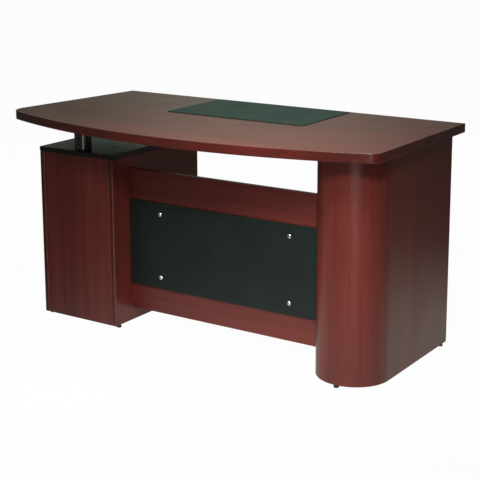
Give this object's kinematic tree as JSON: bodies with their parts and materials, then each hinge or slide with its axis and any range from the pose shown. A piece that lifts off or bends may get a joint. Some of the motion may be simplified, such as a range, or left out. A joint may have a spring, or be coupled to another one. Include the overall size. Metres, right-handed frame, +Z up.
{
  "type": "executive desk",
  "caption": "Bow-front executive desk with a drawer pedestal under black pillars, a D-shaped cabinet leg, a modesty panel with a dark overlay and an inlaid writing pad.",
  "frame": {"origin": "on the floor, under the middle of the desktop's bounding box", "axes": "+X along the desktop towards the leg, +Y from the visitor's bowed edge towards the user, +Z up"},
  "size_m": [1.45, 0.74, 0.753],
  "materials": {
    "mahogany_laminate": "semi-gloss laminate with fine straight mahogany grain",
    "black_laminate": "glossy black laminate on board",
    "black_leatherette": "fine-grained dark green-black leatherette",
    "black_metal": "gloss black enamel",
    "bright_chrome": "polished chrome plate",
    "zinc_steel": "bright zinc plate",
    "satin_nickel": "satin nickel plate",
    "black_plastic": "moulded plastic",
    "brown_plastic": "moulded plastic",
    "drawer_board": "grey melamine-faced board",
    "drawer_hardboard": "grey-faced hardboard"
  },
  "bodies": {
    "desk": {"desktop": "mahogany_laminate", "desktop_edge_band": "mahogany_laminate", "modesty_panel": "mahogany_laminate", "pedestal_outer_side": "mahogany_laminate", "pedestal_inner_side": "mahogany_laminate", "pedestal_front_panel": "mahogany_laminate", "pedestal_base": "mahogany_laminate", "leg_outer_side": "mahogany_laminate", "leg_inner_side": "mahogany_laminate", "leg_nose": "mahogany_laminate", "leg_top_board": "mahogany_laminate", "leg_base_board": "mahogany_laminate", "pedestal_top": "black_laminate", "writing_pad": "black_leatherette", "modesty_overlay": "black_leatherette", "pillar_front": "black_metal", "pillar_rear": "black_metal", "overlay_screws": "bright_chrome", "assembly_screws": "zinc_steel", "pillar_bolts": "zinc_steel", "modesty_brackets": "zinc_steel", "slide_outer_members": "zinc_steel", "hinge_fixed_leaves": "zinc_steel", "hinge_pins": "zinc_steel", "pedestal_glides": "black_plastic", "leg_glides": "black_plastic", "door_catch": "black_plastic", "pedestal_screw_caps": "brown_plastic"},
    "drawer_1": {"drawer_1_front": "mahogany_laminate", "drawer_1_left_side": "drawer_board", "drawer_1_right_side": "drawer_board", "drawer_1_back": "drawer_board", "drawer_1_bottom": "drawer_hardboard", "drawer_1_handle": "satin_nickel", "drawer_1_slide_inner": "zinc_steel", "lock_housing": "bright_chrome"},
    "drawer_1_runners": {"drawer_1_slide_middle": "zinc_steel"},
    "drawer_2": {"drawer_2_front": "mahogany_laminate", "drawer_2_left_side": "drawer_board", "drawer_2_right_side": "drawer_board", "drawer_2_back": "drawer_board", "drawer_2_bottom": "drawer_hardboard", "drawer_2_handle": "satin_nickel", "drawer_2_slide_inner": "zinc_steel"},
    "drawer_2_runners": {"drawer_2_slide_middle": "zinc_steel"},
    "drawer_3": {"drawer_3_front": "mahogany_laminate", "drawer_3_left_side": "drawer_board", "drawer_3_right_side": "drawer_board", "drawer_3_back": "drawer_board", "drawer_3_bottom": "drawer_hardboard", "drawer_3_handle": "satin_nickel", "drawer_3_slide_inner": "zinc_steel"},
    "drawer_3_runners": {"drawer_3_slide_middle": "zinc_steel"},
    "lock": {"lock_barrel": "bright_chrome", "lock_cam": "zinc_steel"},
    "door": {"leg_door": "mahogany_laminate", "hinge_door_leaves": "zinc_steel", "door_handle": "satin_nickel", "door_strike": "zinc_steel"}
  },
  "joints": [
    {"name": "drawer_1_slide", "type": "slide", "parent": "desk", "child": "drawer_1", "axis": [0, 1, 0], "range_m": [0, 0.42]},
    {"name": "drawer_1_runner_slide", "type": "slide", "parent": "desk", "child": "drawer_1_runners", "axis": [0, 1, 0], "range_m": [0, 0.21]},
    {"name": "drawer_2_slide", "type": "slide", "parent": "desk", "child": "drawer_2", "axis": [0, 1, 0], "range_m": [0, 0.42]},
    {"name": "drawer_2_runner_slide", "type": "slide", "parent": "desk", "child": "drawer_2_runners", "axis": [0, 1, 0], "range_m": [0, 0.21]},
    {"name": "drawer_3_slide", "type": "slide", "parent": "desk", "child": "drawer_3", "axis": [0, 1, 0], "range_m": [0, 0.42]},
    {"name": "drawer_3_runner_slide", "type": "slide", "parent": "desk", "child": "drawer_3_runners", "axis": [0, 1, 0], "range_m": [0, 0.21]},
    {"name": "lock_turn", "type": "hinge", "parent": "drawer_1", "child": "lock", "pos_m": [-0.486, 0.33, 0.572], "axis": [0, 1, 0], "range_deg": [-90, 0]},
    {"name": "door_swing", "type": "hinge", "parent": "desk", "child": "door", "pos_m": [0.6803, 0.3339, 0.365], "axis": [0, 0, -1], "range_deg": [0, 110]}
  ],
  "couplings": [
    {"joint": "drawer_1_runner_slide", "follows": "drawer_1_slide", "ratio": 0.5},
    {"joint": "drawer_2_runner_slide", "follows": "drawer_2_slide", "ratio": 0.5},
    {"joint": "drawer_3_runner_slide", "follows": "drawer_3_slide", "ratio": 0.5}
  ]
}
